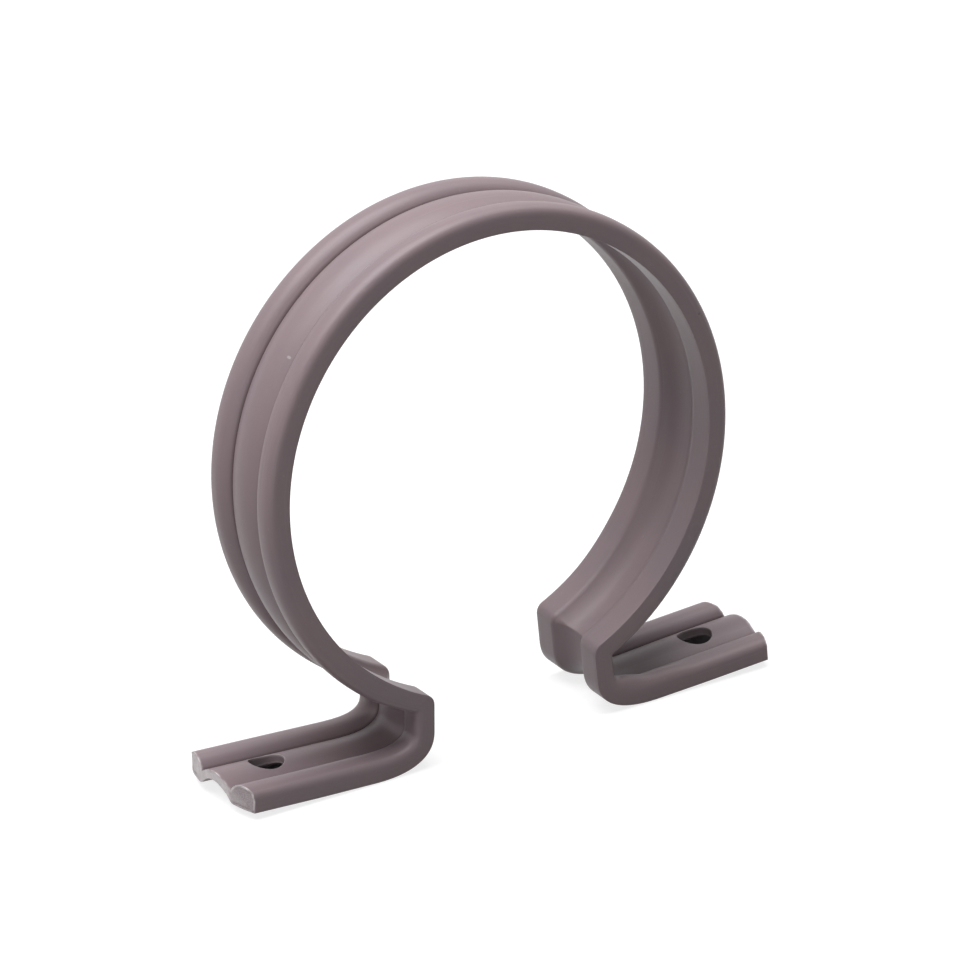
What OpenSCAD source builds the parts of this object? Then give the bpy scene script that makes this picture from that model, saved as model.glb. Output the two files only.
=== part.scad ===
// Pipe saddle clip: one plastic strip, bent into an omega that holds a downpipe to a wall.
// The strip has two solid edge beads joined by a thin arched web.
// Origin: centre of the pipe. The pipe runs along Y, the feet point out along X, and Z is up.

/* [Pipe seat] */
// Diameter of the pipe that the ring holds
pipe_d = 80; // [70:1:90]
// Clear width of the open mouth at its narrowest, between the two corners
mouth_gap = 31.4; // [24:0.1:38]

/* [Strip section] */
// Width of the strip, along the pipe
strip_w = 20.4; // [18:0.1:26]
// Width of each edge bead
bead_w = 5.5; // [4:0.1:5.6]
// Height of each edge bead, from the pipe face to its rounded top
bead_h = 4.1; // [3.8:0.1:5.2]
// Radius of each bead's rounded top, a little over half the bead's width
bead_top_r = 2.95; // [2.85:0.05:3.8]
// Height of the web's crown above the pipe face
web_crown_h = 3.75; // [3.4:0.05:4.2]
// Height at which the web's top face meets the beads
web_edge_h = 2.2; // [1.9:0.1:2.6]
// Thickness of the web
web_t = 1.5; // [1:0.1:1.8]

/* [Legs] */
// Height of a leg, from the corner under the ring to the underside of the foot
leg_h = 13.1; // [11:0.1:20]
// Radius of the corner where the ring turns into the neck
corner_r = 2; // [1:0.1:3]
// Radius of the bend from neck to foot, on its outer face
bend_r = 7.7; // [5.6:0.1:9]
// Angle by which each leg is splayed, so that the foot rises toward its tip
splay = 3.2; // [0:0.1:6]

/* [Feet] */
// Length of a foot, from the neck's inner face to the outer corners of its end
foot_l = 33.8; // [31:0.1:45]
// How far the rounded end of a foot stands out past its corners
foot_bow = 1.8; // [0.8:0.1:3]
// Diameter of the screw hole in each foot
hole_d = 6; // [4:0.1:7]
// Distance between the two screw holes
hole_pitch = 83.8; // [78:0.1:86]

/* [Hidden] */
$fn = 96;
taupe = [0.49, 0.45, 0.46];
pipe_r = pipe_d / 2;
half_w = strip_w / 2;
half_gap = mouth_gap / 2;
// How far a cutter or a buried end runs past the face that it has to clear
spare = 1;

// Strip section. X is the height above the pipe face and Y runs across the strip.
bead_y = half_w - bead_w / 2;
bead_axis_h = bead_h - bead_top_r;
web_half = half_w - bead_w;
web_sag = web_crown_h - web_edge_h;
web_top_r = (web_half * web_half + web_sag * web_sag) / (2 * web_sag);
web_axis_h = web_crown_h - web_top_r;

// The corner lies where the neck's inner face meets the pipe face. The ring ends inside the neck.
corner_z = -sqrt(pipe_r * pipe_r - half_gap * half_gap);
ring_end = 180 - asin((half_gap + spare) / pipe_r);
neck_l = leg_h - bend_r;
neck_run_up = bead_h - corner_r + spare;
// The leg's beads are a hair slimmer than the ring's, so that no two side faces share a plane
leg_trim = 0.02;
foot_end_r = (half_w * half_w + foot_bow * foot_bow) / (2 * foot_bow);
foot_tip = foot_l + foot_bow;

// The pipe's centre as the splayed leg sees it, and the centre of the corner's arc.
// The arc bites a little past both faces, so that it crosses them at a clear angle.
corner_bite = 0.03;
arc_in = corner_r - corner_bite;
pipe_c = [corner_z * -sin(splay) - half_gap * cos(splay), half_gap * sin(splay) - corner_z * cos(splay)];
arc_c = [arc_in, pipe_c.y - sqrt(pow(pipe_r + arc_in, 2) - pow(arc_in - pipe_c.x, 2))];

// Outline of the strip with its underside filled: two beads and the top of the web.
// It starts at height base, and trim is taken off each side of the beads.
module full_section(base = 0, trim = 0) {
    side_w = bead_w - 2 * trim;
    for (side = [-1, 1])
        translate([0, side * bead_y]) intersection() {
            translate([base, -side_w / 2]) square([bead_h - base + spare, side_w]);
            union() {
                translate([bead_axis_h, 0]) circle(r = bead_top_r);
                translate([base, -bead_w]) square([bead_axis_h - base, 2 * bead_w]);
            }
        }
    intersection() {
        translate([web_axis_h, 0]) circle(r = web_top_r);
        translate([base, -bead_y]) square([bead_h, 2 * bead_y]);
    }
}

// The arched recess under the web, between the beads
module recess_section(trim = 0) {
    intersection() {
        translate([web_axis_h, 0]) circle(r = web_top_r - web_t);
        translate([-spare, trim - web_half]) square([bead_h, 2 * (web_half - trim)]);
    }
}

// A section swept down the neck, round the bend and out along the foot.
// X runs along the foot and Y up the neck, and the corner under the ring is at the origin.
module along_leg(foot_run) {
    translate([0, neck_run_up, 0]) rotate([90, 0, 0])
        linear_extrude(neck_l + neck_run_up) children();
    translate([bend_r, -neck_l, 0]) rotate(180) rotate_extrude(angle = 90)
        translate([bend_r, 0]) mirror([1, 0]) children();
    translate([bend_r, -leg_h, 0]) rotate(90) rotate([90, 0, 0])
        linear_extrude(foot_run - bend_r) children();
}

// The block that the shallow arc of a foot's end leaves standing
module end_block() {
    translate([foot_tip - foot_end_r, 0, 0])
        rotate([90, 0, 0]) cylinder(r = foot_end_r, h = leg_h + spare);
    translate([-bead_h, -leg_h - spare, -half_w - spare])
        cube([foot_l, leg_h + 4 * bead_h, strip_w + 2 * spare]);
}

// What rounds the corner between the pipe face and the neck
module corner_cutter() {
    toward_pipe = (pipe_c - arc_c) / norm(pipe_c - arc_c);
    reach = 2 * corner_r;
    linear_extrude(strip_w + 2 * spare, center = true)
        difference() {
            polygon([arc_c, arc_c + reach * toward_pipe, [-reach, reach], [-reach, arc_c.y]]);
            translate(arc_c) circle(r = corner_r);
        }
}

// Places the leg's own frame under the ring
module at_corner() {
    translate([half_gap, corner_z, 0]) rotate(splay) children();
}

// A section swept from the top of the ring down its right-hand side
module half_ring(run) {
    rotate(90) rotate_extrude(angle = -run)
        translate([pipe_r, 0]) children();
}

module screw_hole() {
    translate([hole_pitch / 2, -pipe_r - leg_h, 0])
        rotate([-90, 0, 0]) cylinder(d = hole_d, h = leg_h + spare);
}

// Half of the bent strip, with its underside still filled
module filled_half() {
    difference() {
        union() {
            half_ring(ring_end) full_section(-spare);
            difference() {
                at_corner() intersection() {
                    along_leg(foot_tip + spare) full_section(0, leg_trim);
                    end_block();
                }
                cylinder(r = pipe_r - spare / 2, h = strip_w + 2 * spare, center = true);
            }
        }
        cylinder(r = pipe_r, h = strip_w + 2 * spare, center = true);
        at_corner() corner_cutter();
        screw_hole();
    }
}

module half_clip() {
    difference() {
        filled_half();
        union() {
            half_ring(180) recess_section();
            at_corner() along_leg(foot_tip + 2 * spare) recess_section(leg_trim);
        }
    }
}

module clip() {
    color(taupe) rotate([90, 0, 0]) {
        half_clip();
        mirror([1, 0, 0]) half_clip();
    }
}

clip();
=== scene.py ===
import logging
import math
from dataclasses import dataclass, field
from enum import Enum
from typing import Any, Callable, Iterable, Union

import bpy
from mathutils import Matrix, Vector, noise


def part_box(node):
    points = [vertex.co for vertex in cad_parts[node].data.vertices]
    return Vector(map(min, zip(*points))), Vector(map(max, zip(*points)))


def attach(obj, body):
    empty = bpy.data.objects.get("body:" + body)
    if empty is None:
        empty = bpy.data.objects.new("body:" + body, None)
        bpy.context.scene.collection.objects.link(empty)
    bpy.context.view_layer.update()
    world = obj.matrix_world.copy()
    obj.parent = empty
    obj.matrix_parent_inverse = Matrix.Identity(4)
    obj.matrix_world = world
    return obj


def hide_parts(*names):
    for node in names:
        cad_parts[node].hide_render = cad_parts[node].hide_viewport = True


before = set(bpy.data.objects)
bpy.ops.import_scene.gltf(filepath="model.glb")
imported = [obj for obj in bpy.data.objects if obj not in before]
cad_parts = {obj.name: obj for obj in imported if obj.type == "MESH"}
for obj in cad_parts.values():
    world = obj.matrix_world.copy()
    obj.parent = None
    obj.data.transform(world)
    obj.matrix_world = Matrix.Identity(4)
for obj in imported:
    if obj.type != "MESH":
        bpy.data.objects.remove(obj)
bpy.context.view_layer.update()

log = logging.getLogger("saddle_clip")

MM = 0.001
IMAGE_SIDE = 960

Number = Union[int, float]
Colour = tuple[float, float, float]
Point = tuple[float, float]
Span = tuple[int, int]
WHITE: Colour = (1.0, 1.0, 1.0)


class Side(Enum):
    """The two mirrored halves of the clip."""

    RIGHT = 1
    LEFT = -1


class Stretch(Enum):
    """The stretches of the half strip, each with its start and its length along the strip in mm."""

    RING = (0.0, 112.888)
    CORNER = (112.888, 1.5)
    NECK = (114.388, 3.0)
    BEND = (117.388, 10.0)
    FOOT = (127.388, 25.6)


class Zone(Enum):
    """The parts of the strip's outline."""

    WEB_TOP = "web top"
    WEB_UNDER = "web under"
    BEAD = "bead"


class Channel(Enum):
    """Per-vertex values that the finish reads."""

    STRIP = "strip_mm"
    CUT = "cut"
    RIM = "rim"
    # Painted shade in the grooves beside the beads and on the screw holes' walls
    PAINTED_SHADE = "painted_shade"


# Shader maths


class Term:
    """A shader socket that can be used in ordinary Python sums."""

    def __init__(self, graph: "Graph", socket: bpy.types.NodeSocket) -> None:
        """Wraps a socket.

        Args:
            graph: the graph that the socket's node belongs to.
            socket: the output socket.
        """
        self.graph = graph
        self.socket = socket

    def _math(self, operation: str, *values: Any) -> "Term":
        """Adds a Math node.

        Args:
            operation: the node's operation.
            values: its inputs, in order.

        Returns:
            The node's result.
        """
        return self.graph.term("ShaderNodeMath", {"operation": operation}, dict(enumerate(values)))

    def __add__(self, other: Any) -> "Term":
        """Sum."""
        return self._math("ADD", self, other)

    def __radd__(self, other: Any) -> "Term":
        """Sum, reflected."""
        return self._math("ADD", other, self)

    def __sub__(self, other: Any) -> "Term":
        """Difference."""
        return self._math("SUBTRACT", self, other)

    def __rsub__(self, other: Any) -> "Term":
        """Difference, reflected."""
        return self._math("SUBTRACT", other, self)

    def __mul__(self, other: Any) -> "Term":
        """Product."""
        return self._math("MULTIPLY", self, other)

    def __rmul__(self, other: Any) -> "Term":
        """Product, reflected."""
        return self._math("MULTIPLY", other, self)

    def clamped(self) -> "Term":
        """The value held between 0 and 1."""
        return self.graph.term("ShaderNodeClamp", {}, {"Value": self, "Min": 0.0, "Max": 1.0})

    def ramp(self, low: Number, high: Number) -> "Term":
        """A smooth step from 0 at low to 1 at high.

        Args:
            low: where the step starts.
            high: where it ends. It may be the smaller of the two.

        Returns:
            The stepped value.
        """
        turned = low > high
        start, end = min(low, high), max(low, high)
        step = self.graph.term(
            "ShaderNodeMapRange",
            {"interpolation_type": "SMOOTHSTEP"},
            {"Value": self, "From Min": start, "From Max": end, "To Min": 0.0, "To Max": 1.0},
        )
        return 1.0 - step if turned else step


class Graph:
    """One material's or world's node tree."""

    def __init__(self, tree: bpy.types.NodeTree) -> None:
        """Starts from an empty tree.

        Args:
            tree: the node tree to fill.
        """
        self.tree = tree
        tree.nodes.clear()

    def node(self, kind: str, settings: dict[str, Any], inputs: dict[Any, Any]) -> bpy.types.Node:
        """Adds any node.

        Args:
            kind: the node's type.
            settings: its properties, set first.
            inputs: its sockets by name or number, each a value, a Term or a socket.

        Returns:
            The new node.
        """
        made = self.tree.nodes.new(kind)
        for name, value in settings.items():
            setattr(made, name, value)
        for name, value in inputs.items():
            socket = made.inputs[name]
            if isinstance(value, Term):
                self.tree.links.new(value.socket, socket)
            elif isinstance(value, bpy.types.NodeSocket):
                self.tree.links.new(value, socket)
            elif isinstance(value, tuple) and len(value) == 3 and socket.type == "RGBA":
                socket.default_value = (*value, 1.0)
            else:
                socket.default_value = value
        return made

    def term(self, kind: str, settings: dict[str, Any], inputs: dict[Any, Any], output: Any = 0) -> Term:
        """Adds a node and returns one of its outputs.

        Args:
            kind: the node's type.
            settings: its properties.
            inputs: its sockets' values.
            output: the output's name or number.

        Returns:
            The output, wrapped.
        """
        return Term(self, self.node(kind, settings, inputs).outputs[output])

    def mix(self, factor: Any, first: Any, second: Any) -> Term:
        """Mixes two colours.

        Args:
            factor: 0 gives the first and 1 the second.
            first: a colour or a Term.
            second: a colour or a Term.

        Returns:
            The mixed colour.
        """
        return self.term(
            "ShaderNodeMix",
            {"data_type": "RGBA", "clamp_factor": True},
            {"Factor": factor, 6: first, 7: second},
            2,
        )

    def scaled(self, vector: Term, scale: tuple[float, float, float]) -> Term:
        """Multiplies a vector by a scale along each axis.

        Args:
            vector: the vector.
            scale: the scale.

        Returns:
            The product.
        """
        return self.term("ShaderNodeVectorMath", {"operation": "MULTIPLY"}, {0: vector, 1: scale})


def new_material(name: str) -> tuple[bpy.types.Material, Graph]:
    """Starts a material.

    Args:
        name: its name.

    Returns:
        The material and its empty graph.
    """
    made = bpy.data.materials.new(name)
    made.use_nodes = True
    return made, Graph(made.node_tree)


def placed(name: str, data: bpy.types.ID) -> bpy.types.Object:
    """Adds an object to the scene.

    Args:
        name: its name.
        data: its mesh, lamp or camera.

    Returns:
        The object.
    """
    made = bpy.data.objects.new(name, data)
    bpy.context.scene.collection.objects.link(made)
    return made


# Finishes


@dataclass(frozen=True)
class Pattern:
    """A noise pattern: lumps per unit of length, finer layers, their strength, and a stretch."""

    scale: float
    detail: float
    rough: float
    stretch: tuple[float, float, float] = (1.0, 1.0, 1.0)

    def read(self, g: Graph, place: Term) -> Term:
        """Reads the pattern.

        Args:
            g: the graph.
            place: where it is read.

        Returns:
            Its value, between about 0 and 1.
        """
        inputs = {
            "Vector": g.scaled(place, self.stretch),
            "Scale": self.scale,
            "Detail": self.detail,
            "Roughness": self.rough,
        }
        return g.term("ShaderNodeTexNoise", {"noise_dimensions": "3D"}, inputs, "Fac")


@dataclass(frozen=True)
class Mark:
    """A small spot or nick on the plastic, placed by its position in millimetres."""

    centre: tuple[float, float, float]
    radius: float
    tone: Colour
    strength: float
    stretch: tuple[float, float, float] = (1.0, 1.0, 1.0)
    wobble: float = 0.8
    core: float = 0.45


@dataclass(frozen=True)
class ExtrudedPvc:
    """Satin taupe-grey PVC with faint die lines along the strip and pale, stressed cut edges, with
    painted shade in the grooves and screw holes and a painted highlight on the holes' lips.
    """

    name: str = "taupe_pvc"
    body: Colour = (0.196, 0.148, 0.159)
    warm: Colour = (0.208, 0.153, 0.160)
    cool: Colour = (0.183, 0.144, 0.158)
    # Dark for the die lines' darker streaks and for the painted shade in grooves and screw holes
    dark_streak_and_shade: Colour = (0.085, 0.056, 0.057)
    pale: Colour = (0.74, 0.69, 0.70)
    cut_face: Colour = (0.235, 0.192, 0.203)
    roughness: float = 0.42
    ior: float = 1.53
    specular: float = 0.3
    bump_strength: float = 0.30
    bump_mm: float = 0.12
    streaks: Pattern = Pattern(2.3, 4.0, 0.62, (0.012, 1.0, 1.0))
    fine_streaks: Pattern = Pattern(8.5, 2.0, 0.5, (0.035, 1.0, 1.0))
    scuffs: Pattern = Pattern(1.4, 4.0, 0.7, (0.35, 1.6, 1.6))
    clouds: Pattern = Pattern(0.055, 3.0, 0.55)
    mottling: Pattern = Pattern(0.9, 3.0, 0.6)
    grains: Pattern = Pattern(5.5, 2.0, 0.6)
    marks: tuple[Mark, ...] = (
        Mark((-34.67, -3.39, 25.41), 0.34, (0.42, 0.39, 0.39), 0.55, (1.0, 0.5, 1.0)),
        Mark((38.69, -10.2, 17.62), 0.30, (0.10, 0.07, 0.075), 0.55),
        Mark((-14.0, -7.5, 41.2), 0.30, (0.42, 0.39, 0.39), 0.5),
        Mark((27.8, 6.8, -30.1), 0.28, (0.45, 0.42, 0.42), 0.5),
    )

    def material(self) -> bpy.types.Material:
        """Builds the material.

        Returns:
            The finished material.
        """
        made, g = new_material(self.name)
        strip = self._channel(g, Channel.STRIP, "Vector")
        cut, rim, painted_shade = (self._channel(g, c) for c in (Channel.CUT, Channel.RIM, Channel.PAINTED_SHADE))
        place = g.term("ShaderNodeNewGeometry", {}, {}, "Position")
        place_mm = g.scaled(place, (1 / MM, 1 / MM, 1 / MM))

        on_strip = (self.streaks, self.fine_streaks, self.scuffs)
        streak, fine_streak, scuff = (pattern.read(g, strip) for pattern in on_strip)
        all_over = (self.clouds, self.mottling, self.grains)
        cloud, mottle, grain = (pattern.read(g, place_mm) for pattern in all_over)

        tone = g.mix(cloud.ramp(0.34, 0.66), self.cool, self.warm)
        cut_tone = g.mix(grain.ramp(0.42, 0.72) * 0.35, self.cut_face, self.pale)
        layers: list[tuple[Any, Any]] = [
            (0.45, self.body),
            (streak.ramp(0.55, 0.80) * 0.035, self.pale),
            (streak.ramp(0.45, 0.22) * 0.06, self.dark_streak_and_shade),
            (fine_streak.ramp(0.58, 0.85) * 0.025, self.pale),
            (mottle.ramp(0.62, 0.86) * 0.05, self.pale),
            # Painted shade: darker in the grooves beside the beads, up their feet and on the screw
            # holes' walls
            (painted_shade * 0.75, self.dark_streak_and_shade),
            (cut * 0.85, cut_tone),
            # Pale, stressed rims at the cut ends, and a painted highlight on the screw holes' lips
            (rim * (0.45 + mottle * 0.80).clamped(), self.pale),
        ]
        for mark in self.marks:
            layers.append((self._spot(g, place_mm, mark, mottle) * mark.strength, mark.tone))
        for weight, colour in layers:
            tone = g.mix(weight, tone, colour)

        rough = self.roughness + (mottle - 0.5) * 0.10 + (cloud - 0.5) * 0.08
        rough = rough + cut * 0.16 + rim * 0.12 + scuff.ramp(0.60, 0.78) * 0.06

        lines = (streak - 0.5) * 0.28 + (fine_streak - 0.5) * 0.12
        relief = lines * (1.0 - cut) + (grain - 0.5) * 0.16 + (mottle - 0.5) * 0.30
        relief = relief + cut * (grain - 0.5) * 0.9 + cut * (scuff - 0.5) * 1.1
        normal = g.term(
            "ShaderNodeBump",
            {},
            {"Strength": self.bump_strength, "Distance": self.bump_mm * MM, "Height": relief},
            "Normal",
        )
        shader = g.node(
            "ShaderNodeBsdfPrincipled",
            {},
            {
                "Base Color": tone,
                "Roughness": rough.clamped(),
                "Normal": normal,
                "IOR": self.ior,
                "Specular IOR Level": self.specular,
            },
        )
        g.node("ShaderNodeOutputMaterial", {}, {"Surface": shader.outputs[0]})
        return made

    @staticmethod
    def _channel(g: Graph, channel: Channel, output: str = "Fac") -> Term:
        """Reads one of the mesh's per-vertex values.

        Args:
            g: the graph.
            channel: which value.
            output: the node's output, Fac for a number and Vector for three.

        Returns:
            The value.
        """
        settings = {"attribute_type": "GEOMETRY", "attribute_name": channel.value}
        return g.term("ShaderNodeAttribute", settings, {}, output)

    @staticmethod
    def _spot(g: Graph, place_mm: Term, mark: Mark, wobble: Term) -> Term:
        """A soft-edged spot.

        Args:
            g: the graph.
            place_mm: the position in millimetres.
            mark: the spot's place and size.
            wobble: noise that makes its edge uneven.

        Returns:
            1 inside the spot and 0 outside.
        """
        centre = tuple(c * s for c, s in zip(mark.centre, mark.stretch))
        ends = {0: g.scaled(place_mm, mark.stretch), 1: centre}
        away = g.term("ShaderNodeVectorMath", {"operation": "DISTANCE"}, ends, "Value")
        reach = away + (wobble - 0.5) * mark.radius * mark.wobble
        return reach.ramp(mark.radius, mark.radius * mark.core)


@dataclass(frozen=True)
class PaperFloor:
    """Plain pale paper that shows white and keeps a soft shadow of the clip, with a painted shadow below
    each screw hole. Sizes are in metres.
    """

    name: str = "white_floor"
    paper: Colour = (0.28, 0.28, 0.28)
    # The glow's colour in the painted shadow below the screw holes
    painted_shadow: Colour = (0.0, 0.0, 0.0)
    roughness: float = 0.9
    specular: float = 0.1
    fibres: Pattern = Pattern(900.0, 3.0, 0.6)
    fibre_shade: float = 0.992
    glow: float = 0.79
    # Where the painted shadow lies below each foot, and its soft edge
    shade_shift: float = 0.0036
    shade_x: Point = (0.0375, 0.0465)
    shade_y: Point = (0.0010, 0.0085)
    shade_blur: float = 0.0022

    def material(self) -> bpy.types.Material:
        """Builds the floor's material.

        Returns:
            The material.
        """
        made, g = new_material(self.name)
        place = g.term("ShaderNodeNewGeometry", {}, {}, "Position")
        fibre = self.fibres.read(g, place).ramp(0.3, 0.7)
        tone = g.mix(fibre, self.paper, tuple(c * self.fibre_shade for c in self.paper))
        paper = g.node(
            "ShaderNodeBsdfPrincipled",
            {},
            {"Base Color": tone, "Roughness": self.roughness, "Specular IOR Level": self.specular},
        )
        # Painted shadow: the glow turns black below each screw hole
        white = g.mix(self._painted_shadow_mask(g, place), WHITE, self.painted_shadow)
        glow = g.node("ShaderNodeEmission", {}, {"Color": white, "Strength": seen_white(g) * self.glow})
        both = g.node("ShaderNodeAddShader", {}, {0: paper.outputs[0], 1: glow.outputs[0]})
        g.node("ShaderNodeOutputMaterial", {}, {"Surface": both.outputs[0]})
        return made

    def _painted_shadow_mask(self, g: Graph, place: Term) -> Term:
        """A painted shadow: the floor below the two screw holes, where the white glow is left out.

        Args:
            g: the graph.
            place: the position.

        Returns:
            1 below the middle of each foot, fading to 0 before the foot's edge.
        """
        parts = g.node("ShaderNodeSeparateXYZ", {}, {0: place})
        x, y = (Term(g, parts.outputs[i]) for i in (0, 1))
        out = g.term("ShaderNodeMath", {"operation": "ABSOLUTE"}, {0: x - self.shade_shift})
        blur = self.shade_blur
        inside = [
            value.ramp(low - blur, low) * value.ramp(high + blur, high)
            for value, (low, high) in ((out, self.shade_x), (y, self.shade_y))
        ]
        return inside[0] * inside[1]


def seen_white(g: Graph) -> Term:
    """Tells the rays that see a surface from the light that falls on the clip.

    Args:
        g: the graph.

    Returns:
        1 for a ray from the camera, a reflection or a view through glass, and 0 for any other.
    """
    path = g.node("ShaderNodeLightPath", {}, {})
    kinds = ("Is Camera Ray", "Is Glossy Ray", "Is Transmission Ray")
    camera, glossy, through = (Term(g, path.outputs[kind]) for kind in kinds)
    return (camera + glossy + through).clamped()


# The strip and its path


def ease(t: float) -> float:
    """A smooth step from 0 at 0 to 1 at 1."""
    t = min(1.0, max(0.0, t))
    return t * t * (3 - 2 * t)


@dataclass(frozen=True)
class Fade:
    """A smooth step from 0 to 1, from a start over a length, which is negative to run down."""

    start: float
    length: float

    def at(self, value: float) -> float:
        """How far the step has come at a value."""
        return ease((value - self.start) / self.length)


@dataclass(frozen=True)
class OutlinePoint:
    """One point of the strip's outline: across the strip, and height above the pipe face."""

    across: float
    height: float
    # Painted shade at this point, 1 deep in the groove beside a bead
    painted_shade: float = 0.0
    zone: Zone = Zone.BEAD


@dataclass
class StripSection:
    """The strip's outline in millimetres: two solid edge beads joined by a thin arched web."""

    width: float = 20.4
    bead_width: float = 5.5
    bead_height: float = 4.08
    bead_radius: float = 2.95
    shoulder: float = 2.0
    shoulder_power: float = 2.7
    edge_radius: float = 0.06
    base_radius: float = 1.5
    web_crown: float = 3.75
    web_edge: float = 2.2
    web_thickness: float = 1.5
    groove_width: float = 0.5
    groove: tuple[Point, ...] = ((-0.02, -0.04), (0.01, 0.0))
    arc_from: float = 0.04
    top_gap: float = 0.07
    under_gap: float = 0.02
    # Painted shade at the bead's foot beside the groove, and how much each arc step takes off it
    foot_shade: float = 0.9
    shade_step: float = 0.45
    side_shares: tuple[float, ...] = (0.66, 0.33, 0.0)
    flat_shares: tuple[float, ...] = (0.25, 0.5, 0.75, 1.0)
    web_steps: int = 28
    arc_steps: int = 14
    edge_steps: int = 3
    base_steps: int = 6

    def __post_init__(self) -> None:
        """Works out the arcs."""
        self.half = self.width / 2
        self.bead_centre = self.half - self.bead_width / 2
        self.bead_axis = self.bead_height - self.bead_radius
        self.web_half = self.half - self.bead_width
        sag = self.web_crown - self.web_edge
        self.web_radius = (self.web_half**2 + sag**2) / (2 * sag)
        self.web_axis = self.web_crown - self.web_radius
        self.under_radius = self.web_radius - self.web_thickness
        reach = self.under_radius + self.base_radius
        self.base_centre = math.sqrt(reach**2 - (self.base_radius - self.web_axis) ** 2)
        self.base_turn = math.asin(self.base_centre / reach)
        self.base_in = self.base_centre - self.base_radius * math.sin(self.base_turn)

    def web_top(self, across: float) -> float:
        """Height of the web's top face at a place across the strip."""
        return self.web_axis + math.sqrt(self.web_radius**2 - across**2)

    def web_under(self, across: float) -> float:
        """Height of the web's underside at a place across the strip."""
        return self.web_axis + math.sqrt(self.under_radius**2 - across**2)

    def outline(self) -> list[OutlinePoint]:
        """Goes once round the section, starting on the web's top at its left edge.

        Returns:
            The points, with the web's top first.
        """
        points = self._web(self.web_half - self.top_gap, self.web_top, Zone.WEB_TOP)
        points += self._bead(1.0)
        points += self._web(self.under_gap - self.base_in, self.web_under, Zone.WEB_UNDER)
        points += list(reversed(self._bead(-1.0)))
        return points

    def _web(self, reach: float, height: Callable[[float], float], zone: Zone) -> list[OutlinePoint]:
        """One face of the web.

        Args:
            reach: where it ends. It starts at the same place on the other side.
            height: the face's height across the strip.
            zone: the face.

        Returns:
            The points in order.
        """
        made = []
        for i in range(self.web_steps + 1):
            across = reach * (2 * i / self.web_steps - 1)
            # Painted shade on the web's top, deepening into the groove beside each bead
            depth = 1.0 - (self.web_half - abs(across)) / self.groove_width
            painted_shade = max(0.0, depth) ** 2 if zone is Zone.WEB_TOP else 0.0
            made.append(OutlinePoint(across, height(across), painted_shade, zone))
        return made

    def _bead(self, side: float) -> list[OutlinePoint]:
        """Round one bead, from the groove over its top and back along its flat underside.

        Args:
            side: 1 or -1.

        Returns:
            The points, none of them on the web.
        """
        c, r, e, b = self.bead_centre, self.bead_radius, self.edge_radius, self.base_radius
        # The groove gets full painted shade
        points = [(self.web_half + dy, self.web_edge + dh, 1.0) for dy, dh in self.groove]
        start = math.acos((self.web_half + self.arc_from - c) / r)
        for i in range(self.arc_steps + 1):
            a = start + (math.pi / 2 - start) * i / self.arc_steps
            # Painted shade fading out up the bead's foot
            shade = max(0.0, self.foot_shade - self.shade_step * i)
            points.append((c + r * math.cos(a), self.bead_axis + r * math.sin(a), shade))
        top = self.bead_height - self.shoulder
        for i in range(1, self.arc_steps + 1):
            a = math.pi / 2 * i / self.arc_steps
            out, up = (max(0.0, v) ** (2 / self.shoulder_power) for v in (math.sin(a), math.cos(a)))
            points.append((c + (self.half - c) * out, self.shoulder + top * up, 0.0))
        points += [(self.half, e + (self.shoulder - e) * share, 0.0) for share in self.side_shares]
        for i in range(1, self.edge_steps + 1):
            a = math.pi / 2 * i / self.edge_steps
            points.append((self.half - e + e * math.cos(a), e - e * math.sin(a), 0.0))
        flat = self.base_centre - self.half + e
        points += [(self.half - e + share * flat, 0.0, 0.0) for share in self.flat_shares]
        for i in range(1, self.base_steps + 1):
            a = self.base_turn * i / self.base_steps
            points.append((self.base_centre - b * math.sin(a), b * (1 - math.cos(a)), 0.0))
        return [OutlinePoint(side * y, h, v) for y, h, v in points]


@dataclass(frozen=True)
class Station:
    """One place along the half strip: which stretch it is on and how far along that, from 0 to 1."""

    stretch: Stretch
    t: float

    def run(self) -> float:
        """Distance along the strip from the top of the ring, for the finish's die lines."""
        start, length = self.stretch.value
        return start + length * self.t


# Where the set of a leg takes hold, in millimetres from the pipe's centre, and the share of its
# slide by which it also drops
NECK_DOWN = Fade(-22.0, -14.0)
NECK_IN = Fade(40.0, -18.0)
FOOT_OUT = Fade(26.0, 14.0)
FOOT_DOWN = Fade(-38.0, -3.0)
FAR_EDGE = Fade(0.0, 10.0)
OFF_FLOOR = Fade(-46.0, 9.0)
DROP_SHARE = 0.43


@dataclass(frozen=True)
class LegSet:
    """How one heat-bent leg really stands, in millimetres off its drawn place."""

    out: float
    twist: float
    tip_far: float
    roll: float
    rise: float
    neck_squash: float
    foot_squash: tuple[float, float]
    fold: float
    hole_shift: float
    burr: float
    bend_out: float
    bend_up: float
    bend_power: float
    inner_power: tuple[float, float]

    def moved(self, x: float, across: float, z: float) -> Point:
        """Moves a point of the half that it belongs to.

        Args:
            x: distance out from the middle.
            across: the place across the strip.
            z: the height.

        Returns:
            The new distance and height.
        """
        slide = NECK_DOWN.at(z) * NECK_IN.at(x) * (self.out + self.twist * across)
        foot = FOOT_OUT.at(x) * FOOT_DOWN.at(z)
        far = FAR_EDGE.at(across) * foot * self.tip_far
        down = slide * DROP_SHARE * OFF_FLOOR.at(z)
        return x + slide + far, z + down + foot * (self.rise + self.roll * across)


LEG_SETS = {
    Side.RIGHT: LegSet(
        out=0.46, twist=0.0515, tip_far=-0.55, roll=0.018, rise=0.06,
        neck_squash=0.97, foot_squash=(0.78, 0.97), fold=1.25, hole_shift=0.0, burr=0.0,
        bend_out=13.0, bend_up=7.1, bend_power=2.55, inner_power=(3.0, 3.0),
    ),
    Side.LEFT: LegSet(
        out=-0.43, twist=-0.02, tip_far=0.55, roll=0.012, rise=-0.02,
        neck_squash=0.78, foot_squash=(0.97, 1.0), fold=0.0, hole_shift=0.4, burr=0.35,
        bend_out=12.44, bend_up=7.11, bend_power=2.48, inner_power=(2.4, 2.9),
    ),
}


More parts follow.
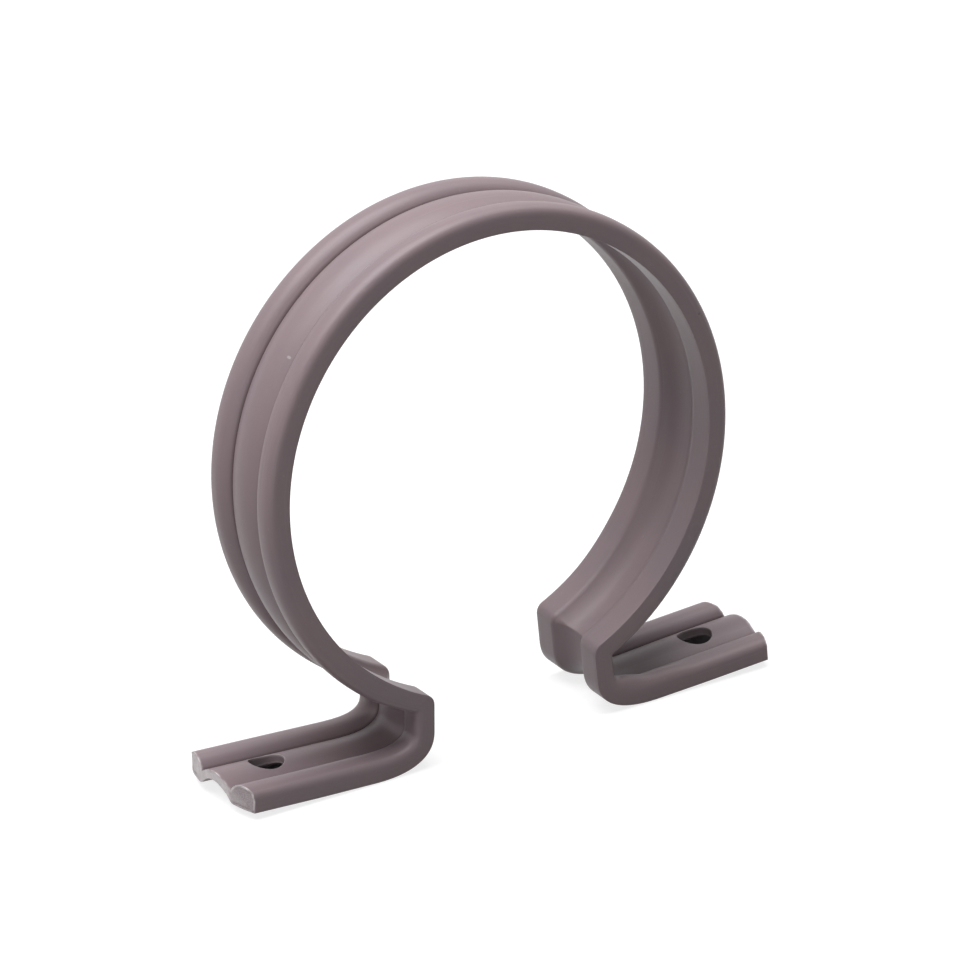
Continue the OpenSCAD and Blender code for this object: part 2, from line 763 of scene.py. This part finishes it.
@dataclass
class HalfPath:
    """The way of half of the strip: ring, corner, neck, bend and foot, in millimetres and degrees."""

    pipe_radius: float = 40.0
    half_gap: float = 15.7
    corner_radius: float = 2.0
    mitre_radius: float = 0.28
    leg_height: float = 13.1
    splay: float = 3.2
    foot_length: float = 33.8
    foot_bow: float = 1.8
    bow_from: float = 0.55
    half_width: float = 10.2
    bead_height: float = 4.1
    bead_inner: float = 4.6
    hole_pitch: float = 83.8
    hole_level: float = 3.0
    hole_reach: float = 4.2
    squash_above: float = 2.2
    squash_in: Fade = Fade(0.93, 0.07)
    fold_height: float = 0.6
    fold_kept: float = 0.5
    fold_in: Fade = Fade(0.0, 0.55)
    fold_out: Fade = Fade(0.65, 0.35)
    foot_fold: Fade = Fade(0.0, 0.35)
    near_edge: Fade = Fade(-6.4, -2.0)
    to_far_bead: Fade = Fade(-7.0, 14.0)
    even_steps: tuple[tuple[Stretch, int], ...] = (
        (Stretch.RING, 96),
        (Stretch.CORNER, 8),
        (Stretch.NECK, 6),
        (Stretch.BEND, 30),
    )
    foot_steps: tuple[int, int, int] = (14, 24, 12)
    end_gaps: tuple[float, ...] = (0.9, 0.6, 0.35, 0.15, 0.0)

    def __post_init__(self) -> None:
        """Works out the leg's frame."""
        s = math.radians(self.splay)
        self.cos, self.sin = math.cos(s), math.sin(s)
        self.corner_z = -math.sqrt(self.pipe_radius**2 - self.half_gap**2)
        self.pipe_x = -self.half_gap * self.cos - self.corner_z * self.sin
        self.pipe_y = self.half_gap * self.sin - self.corner_z * self.cos
        self.end_radius = (self.half_width**2 + self.foot_bow**2) / (2 * self.foot_bow)
        self.foot_tip = self.foot_length + self.foot_bow
        drop = (self.leg_height - self.hole_level) * self.sin
        self.hole_x = (self.hole_pitch / 2 - self.half_gap - drop) / self.cos

    def stations(self, side: Side) -> list[Station]:
        """The places along the half strip, from the top of the ring to the foot's end.

        Args:
            side: the half.

        Returns:
            The stations in order.
        """
        made = [Station(Stretch.RING, 0.0)]
        for stretch, steps in self.even_steps:
            made += [Station(stretch, i / steps) for i in range(1, steps + 1)]
        start = LEG_SETS[side].bend_out
        run = self.foot_tip - start
        hole = [(self.hole_x + reach - start) / run for reach in (-self.hole_reach, self.hole_reach)]
        marks = [0.0, *hole, 1.0 - self.end_gaps[0] / run]
        for (low, high), steps in zip(zip(marks, marks[1:]), self.foot_steps):
            made += [Station(Stretch.FOOT, low + (high - low) * i / steps) for i in range(1, steps + 1)]
        made += [Station(Stretch.FOOT, 1.0 - gap / run) for gap in self.end_gaps[1:]]
        return made

    def hole_stations(self) -> tuple[int, int]:
        """The first and last station of the patch that holds the screw hole."""
        first = sum(steps for _, steps in self.even_steps) + self.foot_steps[0]
        return first, first + self.foot_steps[1]

    def foot_x(self, t: float, across: float, side: Side) -> float:
        """Distance out along the foot, in the leg's frame.

        Args:
            t: 0 at the bend and 1 at the foot's rounded end.
            across: the place across the strip.
            side: the half.

        Returns:
            The distance from the neck's inner face.
        """
        end = self.foot_tip - self.end_radius + math.sqrt(self.end_radius**2 - across**2)
        bow = max(0.0, (t - self.bow_from) / (1.0 - self.bow_from))
        end = self.foot_tip + (end - self.foot_tip) * bow * bow
        start = LEG_SETS[side].bend_out
        return start + t * (end - start)

    def shaped(self, station: Station, p: OutlinePoint, side: Side) -> float:
        """The height of a point after the bend pressed the beads flatter or folded them up.

        Args:
            station: the place along the strip.
            p: the outline point.
            side: the half.

        Returns:
            The height that is left.
        """
        if p.height <= self.squash_above or abs(p.across) < self.bead_inner:
            return p.height
        leg, t = LEG_SETS[side], station.t
        on_foot = leg.foot_squash[0 if p.across < 0 else 1]
        keep, fold = leg.neck_squash, 0.0
        if station.stretch is Stretch.RING:
            keep = 1.0 - (1.0 - keep) * self.squash_in.at(t)
        elif station.stretch is Stretch.BEND:
            keep += (on_foot - keep) * ease(t)
            fold = self.fold_in.at(t) * (1.0 - (1.0 - self.fold_kept) * self.fold_out.at(t))
        elif station.stretch is Stretch.FOOT:
            keep = on_foot
            fold = self.fold_kept * (1.0 - self.foot_fold.at(t))
        over = (p.height - self.squash_above) * keep
        folded = self.fold_height * leg.fold * fold * self.near_edge.at(p.across)
        return self.squash_above + over * (1.0 + folded)

    def _corner(self, height: float) -> tuple[float, float, float]:
        """The corner's arc at a height above the pipe face.

        Args:
            height: the height.

        Returns:
            The arc's centre, as x and y in the leg's frame, and its radius.
        """
        r = max(self.corner_radius - height, self.mitre_radius)
        x = height + r
        reach = self.pipe_radius + height + r
        return x, self.pipe_y - math.sqrt(reach**2 - (x - self.pipe_x) ** 2), r

    def _bend(self, t: float, height: float, across: float, leg: LegSet) -> Point:
        """A point on the eased bend from neck to foot, which is sharper inside than outside.

        Args:
            t: 0 at the neck and 1 at the foot.
            height: the height above the pipe face.
            across: the place across the strip.
            leg: how the leg is set.

        Returns:
            The point in the leg's frame.
        """
        near, far = leg.inner_power
        inner = near + (far - near) * self.to_far_bead.at(across)
        power = leg.bend_power + (inner - leg.bend_power) * height / self.bead_height
        turn = math.pi / 2 * t
        x = (leg.bend_out - height) * max(0.0, math.cos(turn)) ** (2 / power)
        y = (leg.bend_up - height) * math.sin(turn) ** (2 / power)
        return leg.bend_out - x, leg.bend_up - self.leg_height - y

    def place(self, station: Station, p: OutlinePoint, side: Side) -> Point:
        """Where a point of the section lies.

        Args:
            station: the place along the strip.
            p: the outline point.
            side: the half.

        Returns:
            The distance out from the middle and the height, in millimetres.
        """
        height = self.shaped(station, p, side)
        leg, t = LEG_SETS[side], station.t
        cx, cy, r = self._corner(height)
        if station.stretch is Stretch.RING:
            a = math.atan2(*self.world(cx, cy)) * t
            reach = self.pipe_radius + height
            return reach * math.sin(a), reach * math.cos(a)
        if station.stretch is Stretch.CORNER:
            toward = math.atan2(self.pipe_y - cy, self.pipe_x - cx)
            a = toward + (math.pi - toward) * t
            return self.world(cx + r * math.cos(a), cy + r * math.sin(a))
        if station.stretch is Stretch.NECK:
            return self.world(height, cy + (leg.bend_up - self.leg_height - cy) * t)
        if station.stretch is Stretch.BEND:
            return self.world(*self._bend(t, height, p.across, leg))
        return self.world(self.foot_x(t, p.across, side), height - self.leg_height)

    def world(self, x: float, y: float) -> Point:
        """Turns the leg's frame into the clip's.

        Args:
            x: distance out from the neck's inner face.
            y: height above the corner.

        Returns:
            The distance out from the middle and the height above the pipe's centre.
        """
        return (
            self.half_gap + x * self.cos - y * self.sin,
            self.corner_z + x * self.sin + y * self.cos,
        )

    def leg_x(self, out: float, z: float) -> float:
        """Distance out from the neck's inner face of a point in the clip's frame."""
        return (out - self.half_gap) * self.cos + (z - self.corner_z) * self.sin


@dataclass(frozen=True)
class SawnEnd:
    """The sawn end of a foot: worn edge, burr, uneven face and pale, stressed rim."""

    wear: float = 0.16
    wear_from: float = 0.96
    wear_grain: float = 0.9
    wear_layer: float = 7.0
    wear_level: float = 0.5
    wear_lumps: tuple[Point, ...] = ((1.7, 0.5), (5.1, 0.25))
    burr_place: Point = (9.0, 3.6)
    burr_spread: float = 0.4
    rim_from: float = 0.975
    rim_power: float = 1.6
    rim_grain: float = 0.6
    rim_layer: float = 3.0
    rim_scale: float = 1.3
    rim_patch: Point = (0.5, 0.9)
    face_layer: float = 11.0
    bump: float = 0.05
    bump_grain: float = 1.9
    pale_grain: float = 0.8
    pale_patch: Point = (0.55, 1.1)
    web_pale: Fade = Fade(-5.6, 2.0)
    web_stress: Point = (0.12, 0.70)
    cut_rise: float = 6.0
    rings: tuple[tuple[float, float, float], ...] = (
        (0.05, 0.03, 1.0),
        (0.24, 0.05, 1.0),
        (0.36, 0.03, 0.15),
        (0.55, 0.03, 0.0),
    )

    @staticmethod
    def _near(station: Station, start: float) -> float:
        """How close a station is to the cut: 0 up to a start on the foot and 1 at the cut."""
        return max(0.0, (station.t - start) / (1.0 - start)) if station.stretch is Stretch.FOOT else 0.0

    def shortfall(self, station: Station, p: OutlinePoint, side: Side) -> float:
        """How far the sawn end falls short of its true line at a point.

        Args:
            station: the place along the strip.
            p: the outline point.
            side: the half.

        Returns:
            The shortfall in millimetres.
        """
        near_end, grain = self._near(station, self.wear_from), self.wear_grain
        seed = Vector((p.across * grain, p.height * grain, self.wear_layer * side.value))
        rough = self.wear_level
        for scale, share in self.wear_lumps:
            rough += share * noise.noise(seed * scale)
        off = (p.across - self.burr_place[0]) ** 2 + (p.height - self.burr_place[1]) ** 2
        burr = LEG_SETS[side].burr * math.exp(-off / self.burr_spread)
        return (max(0.0, self.wear * rough) - burr) * near_end**2

    def rim(self, station: Station, p: OutlinePoint, side: Side) -> float:
        """How pale the plastic beside the cut is.

        Args:
            station: the place along the strip.
            p: the outline point.
            side: the half.

        Returns:
            0 to 1.
        """
        near_end, grain = self._near(station, self.rim_from), self.rim_grain
        seed = Vector((p.across * grain, p.height * grain, self.rim_layer * side.value))
        patch = self.rim_patch[0] + self.rim_patch[1] * noise.noise(seed * self.rim_scale)
        return max(0.0, min(1.0, near_end**self.rim_power * patch))

    def face(self, across: float, height: float, side: Side) -> tuple[float, float]:
        """The cut face's bumps and pale patches at a place.

        Args:
            across: the place across the strip.
            height: the height above the pipe face.
            side: the half.

        Returns:
            How far the face stands out in millimetres, and how pale its rim is, 0 to 1.
        """
        seed = Vector((across, height, self.face_layer * side.value))
        patch = self.pale_patch[0] + self.pale_patch[1] * noise.noise(seed * self.pale_grain)
        return self.bump * noise.noise(seed * self.bump_grain), max(0.0, min(1.0, patch))

    def stress(self, across: float) -> float:
        """How pale the middle of the cut face is: palest on the web and the far bead."""
        return self.web_stress[0] + self.web_stress[1] * self.web_pale.at(across)


@dataclass
class ClipMesh:
    """Vertices, faces and per-vertex values of the growing mesh."""

    points: list[Vector] = field(default_factory=list)
    faces: list[tuple[int, ...]] = field(default_factory=list)
    strip: list[tuple[float, float, float]] = field(default_factory=list)
    cut: list[float] = field(default_factory=list)
    rim: list[float] = field(default_factory=list)
    # Painted shade per vertex
    painted_shade: list[float] = field(default_factory=list)

    def add(
        self,
        point: Vector,
        strip: tuple[float, float, float],
        cut: float = 0.0,
        rim: float = 0.0,
        painted_shade: float = 0.0,
    ) -> int:
        """Adds a vertex.

        Args:
            point: its position in millimetres.
            strip: run, place across and height on the strip.
            cut: 1 on a cut face.
            rim: 1 on a pale, stressed edge; on a screw hole's lip it carries a painted highlight.
            painted_shade: painted shade, 1 in the groove beside a bead, less up the bead's foot and on a
                screw hole's wall.

        Returns:
            The vertex's number.
        """
        self.points.append(point)
        self.strip.append(strip)
        self.cut.append(cut)
        self.rim.append(rim)
        self.painted_shade.append(painted_shade)
        return len(self.points) - 1

    def face(self, corners: Iterable[int], flip: bool = False) -> None:
        """Adds a face, turned over where flip is true."""
        ring = tuple(corners)
        self.faces.append(ring[::-1] if flip else ring)

    def band(self, outer: list[int], inner: list[int], flip: bool = False) -> None:
        """Joins two closed loops of the same length with quads.

        Args:
            outer: the first loop.
            inner: the second loop.
            flip: whether the faces are turned over.
        """
        count = len(outer)
        for k in range(count):
            n = (k + 1) % count
            self.face((outer[k], outer[n], inner[n], inner[k]), flip)


@dataclass
class SaddleClip:
    """The bent strip: ring, two legs and two feet with their screw holes, as one piece of plastic."""

    section: StripSection = field(default_factory=StripSection)
    path: HalfPath = field(default_factory=HalfPath)
    end: SawnEnd = field(default_factory=SawnEnd)
    finish: ExtrudedPvc = field(default_factory=ExtrudedPvc)
    mesh: ClipMesh = field(default_factory=ClipMesh)
    hole_radius: float = 3.0
    hole_lip: float = 0.12
    under_lip: float = 0.084
    # Painted highlight on the screw holes' rounded lips
    lip_highlight: float = 0.22
    lip_shares: tuple[float, ...] = (0.25, 0.5, 0.72, 0.88, 1.0)
    lip_degrees: tuple[int, ...] = (30, 60, 90)
    wall_steps: int = 4
    # Painted shade on the screw holes' walls
    wall_shade: float = 0.5
    node: str = "clip"
    slot: str = "plastic"

    def __post_init__(self) -> None:
        """Works out the outline, the row at the ring's top and the columns of the holes' patches."""
        self.outline = self.section.outline()
        self.middle = len(self.path.stations(Side.LEFT)) - 1
        self.rows: list[list[int]] = []
        self.columns: list[Span] = []
        for zone in (Zone.WEB_TOP, Zone.WEB_UNDER):
            inside = [j for j in self._zone(zone) if abs(self.outline[j].across) <= self.path.hole_reach]
            self.columns.append((inside[0], inside[-1]))

    def build(self) -> bpy.types.Object:
        """Builds, dresses and places the piece.

        Returns:
            The finished object.
        """
        self._sweep()
        self._skin()
        for side in Side:
            self._screw_hole(side)
            self._end_face(side)
        return self._object()

    def _zone(self, zone: Zone) -> list[int]:
        """The outline points of one zone, by number."""
        return [j for j, p in enumerate(self.outline) if p.zone is zone]

    def _sweep(self) -> None:
        """Lays the outline at every station, from the left foot's end to the right foot's."""
        order = [(Side.LEFT, s) for s in reversed(self.path.stations(Side.LEFT)[1:])]
        order += [(Side.RIGHT, s) for s in self.path.stations(Side.RIGHT)]
        for side, station in order:
            row = []
            for p in self.outline:
                x, z = self.path.place(station, p, side)
                short = self.end.shortfall(station, p, side)
                point = Vector((side.value * (x - short), p.across, z))
                strip = (station.run() * side.value, p.across, p.height)
                row.append(self.mesh.add(point, strip, 0.0, self.end.rim(station, p, side), p.painted_shade))
            self.rows.append(row)

    def _skin(self) -> None:
        """Covers the rows with faces, leaving out the patches that hold the screw holes.

        The faces here and in the rest of the mesh are wound so that they look inward. The grid's
        vertices inside the patches stay in the mesh, unused.
        """
        count = len(self.outline)
        gaps = [self._patch_rows(side) for side in Side]
        for i, (row, after) in enumerate(zip(self.rows, self.rows[1:])):
            in_patch = any(low <= i < high for low, high in gaps)
            for j in range(count):
                if in_patch and any(low <= j < high for low, high in self.columns):
                    continue
                k = (j + 1) % count
                self.mesh.face((row[j], row[k], after[k], after[j]))

    def _patch_rows(self, side: Side) -> Span:
        """The first and last row of the screw hole's patch on one side."""
        ends = [self.middle + side.value * station for station in self.path.hole_stations()]
        return min(ends), max(ends)

    def _screw_hole(self, side: Side) -> None:
        """Closes the patch round a screw hole, with soft lips above and below and the wall between.

        Args:
            side: the half.
        """
        low, high = self._patch_rows(side)
        rims = []
        for (first, last), top in zip(self.columns, (True, False)):
            loop = [self.rows[low][j] for j in range(first, last)]
            loop += [self.rows[i][last] for i in range(low, high)]
            loop += [self.rows[high][j] for j in range(last, first, -1)]
            loop += [self.rows[i][first] for i in range(high, low, -1)]
            rims.append(self._lip(loop, side, top))
        self._wall(rims[0], rims[1], self.columns[0][1] - self.columns[0][0])

    def _lip(self, loop: list[int], side: Side, top: bool) -> list[int]:
        """Fills from a patch's edge to the rounded lip of the hole, which gets a painted highlight.

        Args:
            loop: the patch's edge.
            side: the half.
            top: true for the web's top face.

        Returns:
            The ring of vertices where the lip meets the hole's wall.
        """
        surface = self.section.web_top if top else self.section.web_under
        lip = self.hole_lip if top else self.under_lip
        leg, centre = LEG_SETS[side], self.path.hole_x
        start = []
        for point in (self.mesh.points[v] for v in loop):
            start.append((self.path.leg_x(point.x * side.value, point.z), point.y))
        rings = [(share, 0.0, 0.0) for share in self.lip_shares]
        for a in map(math.radians, self.lip_degrees):
            rings.append((1.0, lip * math.sin(a), lip * (1 - math.cos(a))))
        edge = self.hole_radius + lip
        previous = loop
        for share, inward, drop in rings:
            ring = []
            for x, y in start:
                a = math.atan2(y - leg.hole_shift, x - centre)
                ex, ey = centre + edge * math.cos(a), leg.hole_shift + edge * math.sin(a)
                px, py = x + (ex - x) * share, y + (ey - y) * share
                px, py = px - inward * math.cos(a), py - inward * math.sin(a)
                h = surface(py) + (-drop if top else drop)
                wx, wz = self.path.world(px, h - self.path.leg_height)
                run = (Stretch.FOOT.value[0] + px - leg.bend_out) * side.value
                # Painted highlight on the rounded part of the lip
                pale = self.lip_highlight if inward > 0 else 0.0
                ring.append(self.mesh.add(Vector((side.value * wx, py, wz)), (run, py, h), rim=pale))
            self.mesh.band(previous, ring)
            previous = ring
        return previous

    def _wall(self, upper: list[int], lower: list[int], start: int) -> None:
        """Joins the two lips with the hole's wall, which gets painted shade.

        The lower lip has four more vertices than the upper. They stay out of the wall, which leaves
        a small gap there and skews the wall a little.

        Args:
            upper: the lip on the web's top.
            lower: the lip on its underside, which runs the other way round.
            start: which vertex of the upper lip meets the first one of the lower.
        """
        match = [lower[(start - k) % len(upper)] for k in range(len(upper))]
        previous = upper
        for step in range(1, self.wall_steps):
            share = step / self.wall_steps
            ring = []
            for a, b in zip(upper, match):
                run, across, height = self.mesh.strip[a]
                strip = (run, across, height - self.section.web_thickness * share)
                point = self.mesh.points[a].lerp(self.mesh.points[b], share)
                # Painted shade on the wall
                ring.append(self.mesh.add(point, strip, painted_shade=self.wall_shade))
            self.mesh.band(previous, ring)
            previous = ring
        self.mesh.band(previous, match)

    def _end_face(self, side: Side) -> None:
        """Closes a foot's end with a slightly uneven cut face.

        The rings cross over at the beads' two lower outer corners, which are sharper than the insets.

        Args:
            side: the half.
        """
        row = self.rows[-1] if side is Side.RIGHT else self.rows[0]
        flip = side is Side.LEFT
        after = self.outline[1:] + self.outline[:1]
        previous = row
        for inset, proud, edge in self.end.rings:
            ring = []
            for j, p in enumerate(self.outline):
                a, b = self.outline[j - 1], after[j]
                along = Vector((b.across - a.across, b.height - a.height)).normalized()
                across = p.across + along.y * inset
                height = p.height - along.x * inset
                bump, patch = self.end.face(across, height, side)
                bow = self.path.foot_x(1.0, across, side) - self.path.foot_x(1.0, p.across, side)
                out = side.value * (bow + proud + bump - self.end.bump)
                point = self.mesh.points[row[j]] + Vector((out, across - p.across, height - p.height))
                pale = max(edge * patch, self.end.stress(p.across))
                strip = (self.mesh.strip[row[j]][0], across, height)
                ring.append(self.mesh.add(point, strip, min(1.0, inset * self.end.cut_rise), pale))
            self.mesh.band(previous, ring, flip)
            previous = ring
        self._fill_end(previous, flip)

    def _fill_end(self, ring: list[int], flip: bool) -> None:
        """Fills the inside of a cut face: quads across the web and one polygon on each bead.

        Args:
            ring: the innermost ring of the cut face.
            flip: whether the faces are turned over.
        """
        top, under = self._zone(Zone.WEB_TOP), self._zone(Zone.WEB_UNDER)
        for k in range(len(top) - 1):
            self.mesh.face((ring[j] for j in (top[k], top[k + 1], under[-2 - k], under[-1 - k])), flip)
        self.mesh.face(ring[top[-1] : under[0] + 1], flip)
        self.mesh.face(ring[under[-1] :] + ring[:1], flip)

    @staticmethod
    def _as_bent(point: Vector) -> Vector:
        """Moves a point from its drawn place to where the bent leg has it.

        Args:
            point: the point in millimetres.

        Returns:
            The moved point.
        """
        side = Side.RIGHT if point.x > 0 else Side.LEFT
        out, z = LEG_SETS[side].moved(abs(point.x), point.y, point.z)
        return Vector((out * side.value, point.y, z))

    def _object(self) -> bpy.types.Object:
        """Turns the collected mesh into a dressed object.

        Returns:
            The object, riding on the clip's body.
        """
        mesh = self.mesh
        data = bpy.data.meshes.new("strip")
        data.from_pydata([self._as_bent(p) * MM for p in mesh.points], [], mesh.faces)
        strip = data.attributes.new(Channel.STRIP.value, "FLOAT_VECTOR", "POINT")
        strip.data.foreach_set("vector", [c for v in mesh.strip for c in v])
        values = {Channel.CUT: mesh.cut, Channel.RIM: mesh.rim, Channel.PAINTED_SHADE: mesh.painted_shade}
        for channel, numbers in values.items():
            layer = data.attributes.new(channel.value, "FLOAT", "POINT")
            layer.data.foreach_set("value", numbers)
        data.validate()
        data.polygons.foreach_set("use_smooth", [True] * len(data.polygons))
        data.update()
        made = placed("clip_strip", data)
        data.materials.append(self.finish.material())
        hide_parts(self.node)
        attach(made, "root")
        return made


# The studio


@dataclass(frozen=True)
class Softbox:
    """A rectangular lamp aimed at a point."""

    name: str
    place: tuple[float, float, float]
    size: tuple[float, float]
    watts: float
    aim: tuple[float, float, float] = (0.0, 0.0, 0.0)

    def build(self) -> bpy.types.Object:
        """Adds the lamp.

        Returns:
            The lamp's object.
        """
        data = bpy.data.lights.new(self.name, "AREA")
        data.shape = "RECTANGLE"
        data.size, data.size_y = self.size
        data.energy = self.watts
        made = placed(self.name, data)
        turn = (Vector(self.aim) - Vector(self.place)).to_track_quat("-Z", "Y")
        made.matrix_world = Matrix.Translation(self.place) @ turn.to_matrix().to_4x4()
        return made


@dataclass
class PhotoCamera:
    """The camera, placed as the photograph was taken, in degrees, millimetres and pixels."""

    azimuth: float = -29.945
    elevation: float = 22.19
    roll: float = -3.02
    focal_pixels: float = 5389.0
    distance: float = 887.0
    centre: Point = (472.26, 448.70)
    sensor: float = 36.0
    seen_from: float = 0.01
    seen_to: float = 20.0

    def build(self) -> bpy.types.Object:
        """Adds the camera and makes it the scene's own.

        Returns:
            The camera's object.
        """
        a, e, r = (math.radians(v) for v in (self.azimuth, self.elevation, self.roll))
        back = Vector((math.sin(a) * math.cos(e), -math.cos(a) * math.cos(e), math.sin(e)))
        level = Vector((math.cos(a), math.sin(a), 0.0))
        upright = back.cross(level)
        right = math.cos(r) * level + math.sin(r) * upright
        up = -math.sin(r) * level + math.cos(r) * upright
        middle = IMAGE_SIDE / 2
        per_pixel = self.distance / self.focal_pixels
        place = (
            right * (middle - self.centre[0]) * per_pixel
            + up * (self.centre[1] - middle) * per_pixel
            + back * self.distance
        )
        data = bpy.data.cameras.new("camera")
        data.sensor_width = self.sensor
        data.lens = self.focal_pixels * self.sensor / IMAGE_SIDE
        data.clip_start, data.clip_end = self.seen_from, self.seen_to
        made = placed("camera", data)
        turn = Matrix((right, up, back)).transposed().to_4x4()
        made.matrix_world = Matrix.Translation(place * MM) @ turn
        bpy.context.scene.camera = made
        return made


@dataclass
class Studio:
    """Pale floor, soft light from above and a little from the sides, and the camera."""

    floor_side: float = 8.0
    floor_finish: PaperFloor = field(default_factory=PaperFloor)
    camera: PhotoCamera = field(default_factory=PhotoCamera)
    lamps: tuple[Softbox, ...] = (
        Softbox("top_softbox", (-0.15, 0.05, 0.95), (0.9, 0.9), 16.6),
        Softbox("right_softbox", (0.65, 0.15, 0.75), (0.5, 0.5), 1.6),
        Softbox("left_softbox", (-0.65, 0.15, 0.75), (0.5, 0.5), 2.1),
        Softbox("front_softbox", (-0.20, -1.10, 0.30), (0.7, 0.7), 0.5),
        Softbox("left_card", (-0.32, -0.22, 0.05), (0.25, 0.25), 0.30),
    )

    def build(self, rest_height: float) -> None:
        """Builds floor, world, lamps and camera.

        Args:
            rest_height: the floor's height in metres.
        """
        self._floor(rest_height)
        self._world()
        for lamp in self.lamps:
            lamp.build()
        self.camera.build()

    def _floor(self, rest_height: float) -> None:
        """Lays the floor under the clip.

        Args:
            rest_height: the floor's height in metres.
        """
        half = self.floor_side / 2
        data = bpy.data.meshes.new("floor")
        corners = ((-half, -half), (half, -half), (half, half), (-half, half))
        data.from_pydata([(x, y, rest_height) for x, y in corners], [], [(0, 1, 2, 3)])
        made = placed("floor", data)
        data.materials.append(self.floor_finish.material())

    def _world(self) -> None:
        """Sets a plain surround that shows white and casts no light on the clip."""
        world = bpy.data.worlds.new("surround")
        bpy.context.scene.world = world
        world.use_nodes = True
        g = Graph(world.node_tree)
        light = g.node("ShaderNodeBackground", {}, {"Color": WHITE, "Strength": seen_white(g)})
        g.node("ShaderNodeOutputWorld", {}, {"Surface": light.outputs[0]})


def main() -> None:
    """Builds the clip and its studio, in order."""
    logging.basicConfig(level=logging.INFO, format="%(name)s: %(message)s")
    clip = SaddleClip().build()
    log.info("strip: %d vertices, %d faces", len(clip.data.vertices), len(clip.data.polygons))
    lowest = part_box("clip")[0][2]
    Studio().build(lowest)
    log.info("studio: floor at %.2f mm", lowest / MM)
    bpy.context.scene.view_settings.view_transform = "Standard"


if __name__ == "__main__":
    main()
